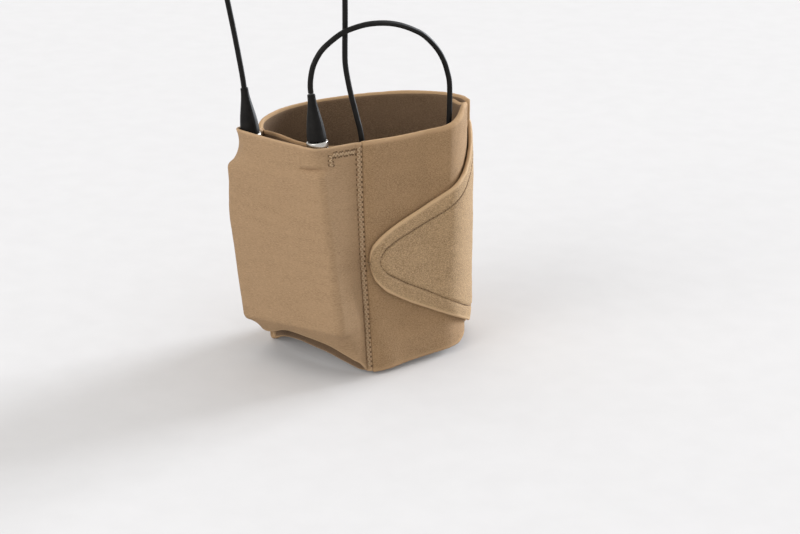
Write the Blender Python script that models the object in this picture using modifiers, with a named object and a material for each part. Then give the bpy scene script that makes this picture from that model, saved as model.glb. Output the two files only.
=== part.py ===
"""Ankle wrap with a pocket that carries a small battery pack, a whip aerial and one lead.

Metres, +Z up along the leg, +X to the wearer's closing tab, -Y to the front seam.
The origin is on the axis of the leg opening, in the plane of the wrap's lower rim.
"""

import math

import bmesh
import bpy
from mathutils import Matrix, Vector

MM = 0.001
GAP = 0.35 * MM

# ---- wrap band: its outer face, followed along the strip from the start edge (place 0), round
# the right, the front seam (place 7), the pocket side, the back, to the end that overlaps it.
LOWER_EDGE = (
    (45, 27), (49.5, 18), (51.3, 7), (49, -5), (42, -17), (31, -25.5), (18, -35), (4, -46),
    (-12, -40), (-27.5, -28.5), (-40, -16), (-48.5, -1), (-48.5, 14), (-41, 29), (-26, 39),
    (-6, 43), (14, 42.5), (33, 37), (47.8, 28.5), (52.7, 19),
)
UPPER_EDGE = (
    (46, 30, 120), (50.5, 20, 121), (52, 8, 122.5), (50, -5, 123.5), (43, -17, 119.5),
    (31, -25, 117.6), (14, -36.5, 117), (-4, -46, 117), (-19, -42, 114.5), (-33, -31, 113.5),
    (-45.5, -17, 113.5), (-53.5, 0, 111.5), (-54.5, 18, 111), (-45, 35, 112), (-27, 46, 114),
    (-5, 50, 116), (17, 48.5, 118), (36, 42, 119.5), (49.3, 31, 120.5), (53.7, 21, 121),
)
BAND_THICKNESS = 2.5 * MM
BAND_END = 19.0
SEAM = 7.05
LEFT_SEAM = 10.8

# ---- pack: a slim case that stands in the pocket, leaning out and to its left
PACK_CENTRE = Vector((-35.05, -35.54, 62.64)) * MM
PACK_TURN = math.radians(-40)
PACK_LEAN = math.radians(3)
PACK_ROLL = math.radians(-5.6)
CASE_HALF_WIDTH = 30.15 * MM
CASE_HALF_HEIGHT = 39 * MM
CASE_FRONT = -6.5 * MM
CASE_SPLIT = 3.6 * MM
CASE_BACK = 6.5 * MM
CASE_WALL = 1.5 * MM
CASE_RADIUS = 5 * MM
CASE_HOLLOW_RADIUS = 2.5 * MM
SCREW_PLACES = ((-24, -34.5), (24, -34.5), (-9, 34), (9, 34))
WHIP_X = -20.65 * MM
LEAD_X = 23.95 * MM

# ---- plugs and their moulded boots, measured up the pack's own axis
BOOT_BASE = 54.5 * MM
BOOT_LENGTH = 22.6 * MM
LEAD_RADIUS = 1.35 * MM

# ---- pocket panel
PANEL_THICKNESS = 1.2 * MM
SEAM_THREAD_RADIUS = 0.22 * MM
STITCH_PITCH = 2.5 * MM
SEAM_STITCHES_FROM = 2.5 * MM
SEAM_STITCHES_LENGTH = 108 * MM
# each side seam's name, place, stitch line's shift and half width, in places along the band
SIDE_SEAMS = (
    ("seam_thread_right", SEAM, -0.07, 0.045),
    ("seam_thread_left", LEFT_SEAM, 0.13, 0.06),
)
CORNER_STITCHES = 14
# how far down the corner's stitches turn, as shares of the panel's uppermost strip
CORNER_STITCH_DEPTHS = (0.2, 0.4)

# ---- closing tab: place along the band, height of its lower edge and of its upper edge
TAB_OUTLINE = (
    (1.05, 4, 109), (1.5, 4.5, 107), (2.0, 5.5, 104.5), (2.6, 8.5, 100), (3.2, 11.8, 95.5),
    (4.1, 18.2, 88), (5.1, 25.4, 80.3), (5.87, 32.7, 75.2), (6.4, 38.7, 70.6), (6.7, 44.7, 66.8),
    (6.88, 51.5, 61),
)
PATCH_OUTLINE = (
    (2.6, 21, 87), (3.2, 24, 83.5), (4.1, 31, 76), (5.1, 38, 68.6), (5.87, 44.6, 63.6), (6.4, 53, 58),
)
PATCH_THICKNESS = 0.8 * MM
TAB_OFFSET = 1.5 * MM
TAB_THICKNESS = 1.8 * MM
TAB_STITCH = (
    (2.0, 13.5), (3.2, 19.5), (4.5, 29.5), (5.5, 38.2), (6.1, 44.5), (6.5, 50), (6.66, 56),
    (6.5, 61.5), (6.1, 65.5), (5.2, 71.5), (4.5, 75.9), (3.2, 87), (2.0, 96.5),
)

# ---- lead: its route from the boot, over in an arch, down inside the band and up again
LEAD_ROUTE = (
    (-25.3, -49.2, 142.2), (-25.5, -49.2, 145), (-25.3, -49.1, 149), (-24.1, -48.8, 154.7),
    (-18.9, -47, 163.3), (-12.4, -44.5, 168.5), (-7.3, -42, 170.8), (1.1, -37, 172.3),
    (9.6, -31.5, 171.7), (16.7, -26.5, 169.6), (23.4, -22, 166.2), (28.7, -18.5, 162.4),
    (34.4, -14.5, 155.6), (37.9, -12.3, 149.1), (39.9, -11, 142.7), (41, -10.5, 136.6),
    (41.1, -10.5, 124.4), (40.5, -11, 110), (39.5, -11.5, 92), (38, -13, 74), (34, -16, 58),
    (27, -20, 49), (18.5, -25.5, 46), (10.5, -30.5, 50), (4.5, -34.5, 61), (1, -37.5, 78),
    (-0.5, -38.7, 97), (-1.8, -39, 117), (-4.4, -38.8, 129.2), (-7.2, -38.2, 140.8),
    (-9.2, -37.7, 152.4), (-9.4, -37.5, 161.1), (-9.2, -37.3, 172.6), (-9.1, -37.2, 190),
)
LEAD_POINTS = 78

LOOP_FELT = ("loop_felt", (0.50, 0.37, 0.25), 0.95, 0.0)
KNIT = ("stretch_knit", (0.52, 0.39, 0.26), 0.85, 0.0)
THREAD = ("sewing_thread", (0.40, 0.29, 0.18), 0.7, 0.0)
HOOK_TAPE = ("hook_tape", (0.45, 0.35, 0.25), 0.6, 0.0)
CASE_PLASTIC = ("case_plastic", (0.03, 0.03, 0.035), 0.45, 0.0)
SEAL_RUBBER = ("seal_rubber", (0.02, 0.02, 0.02), 0.8, 0.0)
BOARD = ("board_laminate", (0.03, 0.16, 0.08), 0.5, 0.0)
CELL = ("cell_foil", (0.55, 0.56, 0.58), 0.35, 0.6)
NICKEL = ("nickel", (0.75, 0.73, 0.70), 0.2, 1.0)
STEEL = ("screw_steel", (0.55, 0.55, 0.57), 0.3, 1.0)
BLACK_RUBBER = ("moulded_black", (0.012, 0.011, 0.011), 0.5, 0.0)

for old in list(bpy.data.objects):
    bpy.data.objects.remove(old, do_unlink=True)

parts = bpy.data.collections.new("ankle_wrap")
cutters = bpy.data.collections.new("cutters")
bpy.context.scene.collection.children.link(parts)
bpy.context.scene.collection.children.link(cutters)


# ------------------------------------------------------------------ helpers

def finish_of(finish):
    """The material of that finish, made the first time it is asked for."""
    name, colour, roughness, metallic = finish
    material = bpy.data.materials.get(name)
    if material is None:
        material = bpy.data.materials.new(name)
        material.use_nodes = True
        shader = material.node_tree.nodes["Principled BSDF"]
        shader.inputs["Base Color"].default_value = (*colour, 1)
        shader.inputs["Roughness"].default_value = roughness
        shader.inputs["Metallic"].default_value = metallic
    return material


def place(obj, finish, parent=None, location=(0, 0, 0)):
    """Put an object in the model with its finish, under a parent at a local place."""
    parts.objects.link(obj)
    obj.data.materials.append(finish_of(finish))
    obj.parent = parent
    obj.location = location
    return obj


def mesh_object(name, bm, smooth=False):
    bmesh.ops.recalc_face_normals(bm, faces=bm.faces)
    mesh = bpy.data.meshes.new(name)
    bm.to_mesh(mesh)
    bm.free()
    if smooth:
        mesh.shade_smooth()
        mesh.set_sharp_from_angle(angle=math.radians(40))
    return bpy.data.objects.new(name, mesh)


def sheet(name, inner, outer, finish, parent=None):
    """A closed sheet between two grids of points (rows of columns) of the same size."""
    bm = bmesh.new()
    inner_verts = [[bm.verts.new(point) for point in row] for row in inner]
    outer_verts = [[bm.verts.new(point) for point in row] for row in outer]
    rows = len(inner)
    columns = len(inner[0])
    for grid in (inner_verts, outer_verts):
        for r in range(rows - 1):
            for c in range(columns - 1):
                bm.faces.new((grid[r][c], grid[r][c + 1], grid[r + 1][c + 1], grid[r + 1][c]))
    for r in (0, rows - 1):
        for c in range(columns - 1):
            bm.faces.new((inner_verts[r][c], inner_verts[r][c + 1], outer_verts[r][c + 1], outer_verts[r][c]))
    for c in (0, columns - 1):
        for r in range(rows - 1):
            bm.faces.new((inner_verts[r][c], inner_verts[r + 1][c], outer_verts[r + 1][c], outer_verts[r][c]))
    obj = place(mesh_object(name, bm, smooth=True), finish)
    if parent:
        hang_on(obj, parent)
    return obj


def hang_on(obj, parent):
    """Parent an object whose mesh is already in world coordinates."""
    obj.parent = parent
    obj.matrix_parent_inverse = parent.matrix_world.inverted()


def curve_value(points, where):
    """A point of the smooth curve through the points; where counts them from 0."""
    last = len(points) - 1
    index = min(int(where), last - 1)
    t = where - index
    b = Vector(points[index])
    c = Vector(points[index + 1])
    a = Vector(points[index - 1]) if index > 0 else 2 * b - c
    d = Vector(points[index + 2]) if index + 2 <= last else 2 * c - b
    return 0.5 * (2 * b + (c - a) * t + (2 * a - 5 * b + 4 * c - d) * t * t
                  + (3 * b - a - 3 * c + d) * t * t * t)


LOWER_3D = tuple((x, y, 0) for x, y in LOWER_EDGE)


def rim_height(where):
    return curve_value(UPPER_EDGE, where).z * MM


def band_point(where, height, offset=0.0):
    """A point off the band's outer face: place along the strip, height, distance outwards."""
    low = curve_value(LOWER_3D, where) * MM
    high = curve_value(UPPER_EDGE, where) * MM
    share = height / high.z
    step = 0.01 if where < len(LOWER_EDGE) - 1.02 else -0.01
    ahead_low = curve_value(LOWER_3D, where + step) * MM
    ahead_high = curve_value(UPPER_EDGE, where + step) * MM
    here = low.lerp(high, share)
    along = ahead_low.lerp(ahead_high, share) - here
    along *= math.copysign(1, step)
    outward = Vector((-along.y, along.x, 0)).normalized()
    point = here + outward * offset
    point.z = height
    return point


def steps(first, last, count):
    return [first + (last - first) * i / (count - 1) for i in range(count)]


def thread(name, points, radius, finish, parent=None, resolution=1):
    """A thin tube through the points."""
    curve = bpy.data.curves.new(name, "CURVE")
    curve.dimensions = "3D"
    curve.bevel_depth = radius
    curve.bevel_resolution = resolution
    curve.use_fill_caps = True
    spline = curve.splines.new("POLY")
    spline.points.add(len(points) - 1)
    for spot, point in zip(spline.points, points):
        spot.co = (*point, 1)
    obj = place(bpy.data.objects.new(name, curve), finish)
    if parent:
        hang_on(obj, parent)
    return obj


def turned(name, profile, finish, parent, location=(0, 0, 0), sides=24):
    """A turned piece; the profile's (radius, height) points run down its outer side."""
    bm = bmesh.new()
    verts = [bm.verts.new((radius * MM, 0, height * MM)) for radius, height in profile]
    for a, b in zip(verts, verts[1:]):
        bm.edges.new((a, b))
    mesh = bpy.data.meshes.new(name)
    bm.to_mesh(mesh)
    bm.free()
    obj = place(bpy.data.objects.new(name, mesh), finish, parent, location)
    screw = obj.modifiers.new("turn", "SCREW")
    screw.steps = sides
    screw.render_steps = sides
    screw.use_merge_vertices = True
    screw.merge_threshold = 0.00001
    screw.use_smooth_shade = False
    return obj


def rounded_plate(name, half_width, half_height, front, back, radius, rim=0.0):
    """A plate with rounded corners, and with its front rim rounded where rim is given."""
    bm = bmesh.new()
    bmesh.ops.create_cube(bm, size=1)
    for vert in bm.verts:
        vert.co.x *= 2 * half_width
        vert.co.y = front if vert.co.y < 0 else back
        vert.co.z *= 2 * half_height
    corners = [e for e in bm.edges if abs(e.verts[0].co.y - e.verts[1].co.y) > MM / 10]
    bmesh.ops.bevel(bm, geom=corners, offset=radius, segments=4, profile=0.5, affect="EDGES")
    if rim:
        edge = [e for e in bm.edges if all(abs(v.co.y - front) < MM / 100 for v in e.verts)]
        bmesh.ops.bevel(bm, geom=edge, offset=rim, segments=2, profile=0.5, affect="EDGES")
    return mesh_object(name, bm)


def rod_cutter(name, radius, low, high, location, axis="Z", sides=20):
    """A cylinder to cut with, along its parent's Z or Y."""
    bm = bmesh.new()
    bmesh.ops.create_cone(bm, cap_ends=True, segments=sides, radius1=radius, radius2=radius,
                          depth=high - low)
    for vert in bm.verts:
        vert.co.z += (high + low) / 2
    if axis == "Y":
        bmesh.ops.rotate(bm, verts=bm.verts, matrix=Matrix.Rotation(math.radians(-90), 3, "X"))
    return cutter(mesh_object(name, bm), location)


def cutter(obj, location=(0, 0, 0)):
    cutters.objects.link(obj)
    obj.parent = pack_frame
    obj.location = location
    obj.hide_render = True
    obj.display_type = "WIRE"
    return obj


def combine(obj, other, operation="DIFFERENCE"):
    modifier = obj.modifiers.new(operation.lower(), "BOOLEAN")
    modifier.operation = operation
    modifier.solver = "EXACT"
    modifier.object = other


# ------------------------------------------------------------------ frames

def empty(name, parent=None, location=(0, 0, 0)):
    obj = bpy.data.objects.new(name, None)
    parts.objects.link(obj)
    obj.parent = parent
    obj.location = location
    return obj


tab_hinge = empty("tab_hinge", location=band_point(BAND_END, 60 * MM, 0.1 * MM) * Vector((1, 1, 0)))
pack_frame = empty("pack_frame", location=PACK_CENTRE)
pack_frame.rotation_mode = "QUATERNION"
pack_frame.rotation_quaternion = (Matrix.Rotation(PACK_TURN, 3, "Z") @ Matrix.Rotation(PACK_LEAN, 3, "X")
                                  @ Matrix.Rotation(PACK_ROLL, 3, "Y")).to_quaternion()
whip_frame = empty("whip_frame", pack_frame, (WHIP_X, 0, 0))
lead_frame = empty("lead_frame", pack_frame, (LEAD_X, 0, 0))
bpy.context.view_layer.update()


def pack_point(x, y, height):
    """The point of the pack's upright through local (x, y) that is at that world height."""
    turn = pack_frame.matrix_world.to_3x3()
    foot = pack_frame.matrix_world @ Vector((x, y, 0))
    up = turn @ Vector((0, 0, 1))
    return foot + up * ((height - foot.z) / up.z)


# ------------------------------------------------------------------ wrap

def build_band():
    places = steps(0, BAND_END, 77)
    shares = steps(0, 1, 3)
    inner = [[band_point(p, rim_height(p) * s, -BAND_THICKNESS) for p in places] for s in shares]
    outer = [[band_point(p, rim_height(p) * s) for p in places] for s in shares]
    sheet("wrap_band", inner, outer, LOOP_FELT)


# pocket panel, level by level: height at the seams, height at the front, how far the inner
# face stands in from the pack's front, how much narrower it is, and its share of the pack's roll
PANEL_LEVELS = (
    (0.5, 12, 8.6, 1.5, 0.4),
    (6, 16, 5.2, 0.6, 0.7),
    (13, 20, 2.0, 0, 1),
    (18, 23.5, 0, 0, 1),
    (62, 62, 0, 0, 1),
    (102, 102, 0, 0, 1),
    (113, 115.5, 0, 0, 0),
)
PANEL_FRONT = -6.9
PANEL_RIGHT = 30.65
PANEL_LEFT = -33.2
PANEL_CORNER = 3.0


def panel_row(level):
    """The inner face of the pocket panel at one level, from its right flange to its left."""
    seam_height, front_height, inset, narrow, roll = level
    slope = -roll * math.tan(PACK_ROLL)
    low = min(seam_height * MM, rim_height(LEFT_SEAM) - 0.5 * MM)
    row = [band_point(SEAM - 0.13, seam_height * MM, GAP), band_point(SEAM, seam_height * MM, GAP)]
    front = PANEL_FRONT + inset
    right = PANEL_RIGHT - narrow
    left = PANEL_LEFT + narrow
    depth = PANEL_CORNER - inset / 3
    spots = [((right + left) / 2, front)]
    for angle in (90, 60, 30, 0):
        across = PANEL_CORNER * (1 - math.cos(math.radians(angle)))
        back = front + depth * (1 - math.sin(math.radians(angle)))
        spots.insert(0, (right - across, back))
        spots.append((left + across, back))
    for x, y in spots:
        row.append(pack_point(x * MM, y * MM, (front_height + slope * x) * MM))
    row += [band_point(LEFT_SEAM, low, GAP), band_point(LEFT_SEAM + 0.25, low, GAP)]
    return row


def thickened(row, thickness):
    """The same row moved outwards, square to its own line."""
    moved = []
    for i, point in enumerate(row):
        before = (point - row[i - 1]) if i else (row[1] - point)
        after = (row[i + 1] - point) if i < len(row) - 1 else before
        sides = []
        for line in (before, after):
            flat = Vector((line.x, line.y, 0)).normalized()
            sides.append(Vector((-flat.y, flat.x, 0)))
        mean = (sides[0] + sides[1]).normalized()
        moved.append(point + mean * (thickness / max(mean.dot(sides[0]), 0.6)))
    return moved


def build_panel():
    """The panel, and the zigzag that holds its right wall's top corner, just under the rim."""
    inner = [panel_row(level) for level in PANEL_LEVELS]
    outer = [thickened(row, PANEL_THICKNESS) for row in inner]
    sheet("pocket_panel", inner, outer, KNIT)
    points = []
    for i, share in enumerate(steps(0.12, 0.8, CORNER_STITCHES)):
        top, below = (row[1].lerp(row[2], share) for row in (outer[-1], outer[-2]))
        wall = outer[-1][2] - outer[-1][1]
        out = Vector((-wall.y, wall.x, 0)).normalized() * (GAP + SEAM_THREAD_RADIUS)
        points.append(top.lerp(below, CORNER_STITCH_DEPTHS[i % 2]) + out)
    thread("rim_thread", points, SEAM_THREAD_RADIUS, THREAD, resolution=0)


def build_seam_threads():
    """Zigzag threads down both side seams."""
    lift = GAP + PANEL_THICKNESS + GAP + SEAM_THREAD_RADIUS
    turns = int(SEAM_STITCHES_LENGTH / STITCH_PITCH) * 2
    for name, seam, shift, half in SIDE_SEAMS:
        points = []
        for i in range(turns):
            side = half if i % 2 else -half
            height = SEAM_STITCHES_FROM + i * STITCH_PITCH / 2
            points.append(band_point(seam + shift + side, height, lift))
        thread(name, points, SEAM_THREAD_RADIUS, THREAD, resolution=0)


# ------------------------------------------------------------------ closing tab

def outline_grid(outline, offset, rows):
    """Rows of points over an outline of (place, low edge, high edge) columns."""
    count = (len(outline) - 1) * 3 + 1
    columns = [curve_value(outline, w) for w in steps(0, len(outline) - 1, count)]
    return [[band_point(c.x, (c.y + (c.z - c.y) * s) * MM, offset) for c in columns]
            for s in steps(0, 1, rows)]


def build_tab():
    sheet("closure_tab", outline_grid(TAB_OUTLINE, TAB_OFFSET, 5),
          outline_grid(TAB_OUTLINE, TAB_OFFSET + TAB_THICKNESS, 5), LOOP_FELT, tab_hinge)
    sheet("hook_patch", outline_grid(PATCH_OUTLINE, GAP, 4),
          outline_grid(PATCH_OUTLINE, GAP + PATCH_THICKNESS, 4), HOOK_TAPE, tab_hinge)
    lift = TAB_OFFSET + TAB_THICKNESS + GAP + SEAM_THREAD_RADIUS
    route = [curve_value([(p, z, 0) for p, z in TAB_STITCH], w)
             for w in steps(0, len(TAB_STITCH) - 1, 49)]
    thread("tab_thread", [band_point(r.x, r.y * MM, lift) for r in route], SEAM_THREAD_RADIUS,
           THREAD, tab_hinge, resolution=0)


# ------------------------------------------------------------------ pack

def build_case():
    tray = place(rounded_plate("housing_front", CASE_HALF_WIDTH, CASE_HALF_HEIGHT, CASE_FRONT,
                               CASE_SPLIT, CASE_RADIUS, rim=3.0 * MM), CASE_PLASTIC, pack_frame)
    hollow = rounded_plate("case_hollow", CASE_HALF_WIDTH - CASE_WALL, CASE_HALF_HEIGHT - CASE_WALL,
                           CASE_FRONT + CASE_WALL, CASE_SPLIT + 5 * MM, CASE_HOLLOW_RADIUS)
    combine(tray, cutter(hollow))
    for number, (x, z) in enumerate(SCREW_PLACES, 1):
        spot = (x * MM, 0, z * MM)
        boss = rod_cutter(f"boss_{number}", 2.4 * MM, CASE_FRONT + CASE_WALL / 2, CASE_SPLIT - 0.2 * MM,
                          spot, "Y")
        combine(tray, boss, "UNION")
        combine(tray, rod_cutter(f"pilot_{number}", 1.2 * MM, -3.5 * MM, CASE_SPLIT + MM, spot, "Y"))
    for side, x in (("whip", WHIP_X), ("lead", LEAD_X)):
        combine(tray, rod_cutter(f"socket_hole_{side}", 3.35 * MM, 35 * MM, 42 * MM, (x, 0, 0)))

    lid = place(rounded_plate("housing_back", CASE_HALF_WIDTH, CASE_HALF_HEIGHT, CASE_SPLIT + 1.2 * MM,
                              CASE_BACK, CASE_RADIUS), CASE_PLASTIC, pack_frame)
    for number, (x, z) in enumerate(SCREW_PLACES, 1):
        spot = (x * MM, 0, z * MM)
        combine(lid, rod_cutter(f"clearance_{number}", 1.3 * MM, CASE_SPLIT, CASE_BACK + MM, spot, "Y"))
        combine(lid, rod_cutter(f"head_recess_{number}", 2.2 * MM, CASE_BACK - 0.9 * MM,
                                CASE_BACK + MM, spot, "Y"))

    seal = place(rounded_plate("housing_seal", CASE_HALF_WIDTH - 0.2 * MM, CASE_HALF_HEIGHT - 0.2 * MM,
                               CASE_SPLIT + 0.3 * MM, CASE_SPLIT + 0.9 * MM, CASE_RADIUS - 0.2 * MM),
                 SEAL_RUBBER, pack_frame)
    inside = rounded_plate("seal_inside", CASE_HALF_WIDTH - CASE_WALL, CASE_HALF_HEIGHT - CASE_WALL,
                           CASE_SPLIT - MM, CASE_SPLIT + 2 * MM, CASE_HOLLOW_RADIUS)
    combine(seal, cutter(inside))


def build_screws():
    """Pan heads in the lid's recesses, shanks down into the bosses."""
    for number, (x, z) in enumerate(SCREW_PLACES, 1):
        profile = ((0, 6.3), (1.3, 6.2), (1.75, 5.97), (0.9, 5.9), (0.9, -1.6), (0.5, -2.4), (0, -2.4))
        screw = turned(f"case_screw_{number}", profile, STEEL, pack_frame, (x * MM, 0, z * MM), 14)
        screw.rotation_euler = (math.radians(-90), 0, 0)


def build_insides():
    place(rounded_plate("circuit_board", 20.8 * MM, 29 * MM, 1.9 * MM, 3.1 * MM, 1.5 * MM), BOARD,
          pack_frame, (0, 0, -7 * MM))
    place(rounded_plate("battery_cell", 19.5 * MM, 25 * MM, -4.6 * MM, -0.4 * MM, 1.2 * MM, rim=0.8 * MM),
          CELL, pack_frame, (0, 0, -7 * MM))


def build_socket(side, x):
    profile = ((1.95, 42.4), (2.7, 42.4), (3.0, 42.1), (3.0, 36.6), (3.6, 36.6), (3.6, 26.5),
               (0, 26.5))
    bore = ((0, 31.2), (1.95, 31.2))
    turned(f"socket_{side}", bore + profile, NICKEL, pack_frame, (x, 0, 0))
    ring = ((3.35, 40.9), (4.3, 40.9), (4.6, 40.6), (4.6, 39.6), (4.3, 39.3), (3.35, 39.3), (3.35, 40.9))
    turned(f"socket_nut_{side}", ring, NICKEL, pack_frame, (x, 0, 0), 20)


def build_plug(side, frame):
    """Contact pin, nickel collar and moulded boot of one plug."""
    pin = ((0, 47.4), (1.55, 47.4), (1.55, 34.2), (1.2, 33.4), (1.35, 32.9), (0.7, 32), (0, 31.9))
    turned(f"{side}_pin", pin, NICKEL, frame, sides=16)
    collar = ((0, 47.8), (1.95, 47.8), (1.95, 42.8), (4.4, 42.8), (4.8, 43.2), (4.8, 46), (5.2, 46.3),
              (5.2, 53.9), (4.9, 54.2), (0, 54.2))
    turned(f"{side}_collar", tuple(reversed(collar)), NICKEL, frame)
    top = BOOT_BASE / MM
    boot = ((0, 22.6), (1.6, 22.6), (1.85, 22.2), (1.95, 20), (2.5, 16), (3.3, 12), (4.0, 8),
            (4.5, 4), (4.7, 1.2), (4.6, 0), (0, 0))
    turned(f"{side}_boot", tuple((r, top + h) for r, h in boot), BLACK_RUBBER, frame)


def build_whip():
    top = (BOOT_BASE + BOOT_LENGTH) / MM + 0.3
    route = ((0, top), (-0.15, 84), (-0.9, 95), (-1.9, 107), (-3.0, 118), (-3.4, 122))
    local = [curve_value([(x, 0, z) for x, z in route], w) for w in steps(0, len(route) - 1, 16)]
    points = [whip_frame.matrix_world @ (Vector(p) * MM) for p in local]
    thread("whip_rod", points, LEAD_RADIUS, BLACK_RUBBER, whip_frame, resolution=2)
    cap = ((0, 132), (1.2, 131.8), (1.9, 130.9), (1.95, 124), (1.6, 122.4), (0, 122.4))
    turned("whip_tip", cap, BLACK_RUBBER, whip_frame, (-3.5 * MM, 0, 0), 16)


# ------------------------------------------------------------------ lead

def build_lead():
    points = [curve_value(LEAD_ROUTE, w) * MM for w in steps(0, len(LEAD_ROUTE) - 1, LEAD_POINTS)]
    thread("lead_cord", points, LEAD_RADIUS, BLACK_RUBBER, lead_frame, resolution=2)
    end = Vector(LEAD_ROUTE[-1]) * MM
    end_frame = empty("lead_end_frame", lead_frame)
    end_frame.matrix_world = Matrix.Translation(end)
    relief = ((0, 9), (2.6, 9), (2.9, 8.4), (2.6, 5), (1.9, 1.5), (1.8, 0.3), (0, 0.3))
    turned("end_relief", relief, BLACK_RUBBER, end_frame, sides=20)
    body = ((0, 30), (3.6, 30), (4.1, 29.4), (4.1, 26.5), (3.8, 26.2), (4.1, 25.9), (4.1, 12), (3.2, 9.3),
            (0, 9.3))
    turned("end_connector", body, BLACK_RUBBER, end_frame, sides=20)
    sleeve = ((0, 36), (2.4, 36), (2.8, 35.6), (2.8, 30.3), (0, 30.3))
    turned("end_sleeve", sleeve, NICKEL, end_frame, sides=20)


build_band()
build_panel()
build_seam_threads()
build_tab()
build_case()
build_screws()
build_insides()
build_socket("whip", WHIP_X)
build_socket("lead", LEAD_X)
build_plug("whip", whip_frame)
build_plug("lead", lead_frame)
build_whip()
build_lead()
bpy.context.view_layer.update()
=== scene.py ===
"""Looks of the ankle wrap: its cloth, stitching, plugs and leads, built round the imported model."""

import math

import bpy
import numpy as np
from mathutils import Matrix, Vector


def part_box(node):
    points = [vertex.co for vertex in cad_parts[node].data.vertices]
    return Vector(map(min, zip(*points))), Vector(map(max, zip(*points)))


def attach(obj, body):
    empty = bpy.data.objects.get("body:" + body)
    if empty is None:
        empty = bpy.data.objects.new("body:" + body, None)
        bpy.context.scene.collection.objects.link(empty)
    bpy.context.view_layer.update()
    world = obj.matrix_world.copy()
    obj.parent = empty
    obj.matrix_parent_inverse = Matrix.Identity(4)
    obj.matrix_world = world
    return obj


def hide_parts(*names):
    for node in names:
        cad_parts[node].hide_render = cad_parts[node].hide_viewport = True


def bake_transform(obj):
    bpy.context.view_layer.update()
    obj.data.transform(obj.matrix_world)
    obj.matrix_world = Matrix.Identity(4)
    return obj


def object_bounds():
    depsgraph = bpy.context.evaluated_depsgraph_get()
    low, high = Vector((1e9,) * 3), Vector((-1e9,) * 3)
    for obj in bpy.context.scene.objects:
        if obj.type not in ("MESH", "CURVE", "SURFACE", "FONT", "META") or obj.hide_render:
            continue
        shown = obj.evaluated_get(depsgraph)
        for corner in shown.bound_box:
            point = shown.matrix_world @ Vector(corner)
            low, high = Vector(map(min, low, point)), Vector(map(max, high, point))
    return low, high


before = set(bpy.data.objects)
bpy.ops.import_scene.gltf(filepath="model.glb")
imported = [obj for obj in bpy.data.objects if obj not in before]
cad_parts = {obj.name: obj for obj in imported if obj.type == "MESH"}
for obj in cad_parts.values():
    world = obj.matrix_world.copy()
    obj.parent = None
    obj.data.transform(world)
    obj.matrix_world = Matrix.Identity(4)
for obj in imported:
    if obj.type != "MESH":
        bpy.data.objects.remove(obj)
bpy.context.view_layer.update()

MM = 0.001

# ------------------------------------------------------------------ sizes, in mm unless said

# the band's outer face, followed along the strip from its start edge under the overlap (place 0),
# round the right, the front seam (place 7), the pocket side and the back to its tail (place 19)
LOWER_EDGE = (
    (44.3, 27), (48.5, 18), (50.4, 7), (48.6, -5), (42, -17), (31, -25.5), (18, -35), (4, -46),
    (-12, -40), (-27.5, -28.5), (-40, -16), (-48.5, -1), (-48.5, 14), (-41, 29), (-26, 39),
    (-6, 43), (14, 42.5), (33, 37), (47, 28.5), (51.7, 19),
)
UPPER_EDGE = (
    (45.2, 30, 120), (49.2, 20, 121), (50.6, 8, 122.5), (48.7, -5, 123.5), (43, -17, 119.5),
    (31, -25, 117.6), (14, -36.5, 117), (-4, -46, 117), (-19, -42, 114.5), (-33, -31, 113.5),
    (-45.5, -17, 113.5), (-53.5, 0, 111.5), (-54.5, 18, 111), (-45, 35, 112), (-27, 46, 114),
    (-5, 50, 116), (17, 48.5, 118), (36, 42, 119.5), (48.2, 31, 120.5), (52.4, 21, 121),
)
# place along the band, height of the rim there
UPPER_RIM = (
    (0, 118.5), (1, 119.2), (1.5, 120.8), (2, 122.5), (2.5, 124), (3, 124), (3.5, 121.5), (4, 119.4),
    (4.5, 118), (5, 117.5), (6, 117), (7, 117), (8, 114.4), (9, 113.4), (10, 113.8), (10.5, 112.7),
    (11, 110.9), (12, 111), (14, 114), (16, 118), (18, 120.5), (19, 121),
)
LOWER_RIM = (
    (0, 0.4), (1, 0), (2, -1.6), (2.5, -0.6), (3, 0.2), (3.5, -0.4), (4, -0.4), (5, -0.7), (6, -1.4),
    (7, -2.2), (7.5, -2.4), (8, 0), (8.5, 2.4), (9, 3.4), (9.5, 4), (10, 3.3), (10.5, 1.2),
    (11, -2), (11.5, -3.4), (12, -2.8), (13, -1.2), (15, -0.6), (17, -0.6), (19, -0.2),
)
BAND_END = 19.0
BAND_THICKNESS = 2.5
# height, and the right seam's place there
SEAM_LINE = ((-4, 7.17), (56, 7.12), (90, 7.04), (117, 6.95))
# along the band, in places: the left seam, the cloth outside a seam and sewn down at it, the upright crease
LEFT_SEAM = 11.0
SEAM_MARGIN = 0.07
FLANGE = 0.16
CREASE = 4.24

PANEL_THICKNESS = 1.2
PANEL_GAP = 0.25

# closing tab: place along the band, height of its lower edge and of its upper edge
TAB_OUTLINE = (
    (1.05, 4, 110.5), (1.5, 4.2, 107.5), (2.0, 5, 104.3), (2.6, 8.2, 99.8), (3.2, 11.6, 95.2),
    (4.1, 18, 88), (5.1, 25.2, 80.5), (5.87, 32.2, 75), (6.4, 38.4, 70.4), (6.68, 43.6, 66.8),
    (6.85, 49, 63), (6.93, 56, 56.6),
)
TAB_THICKNESS = 2.0
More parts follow.
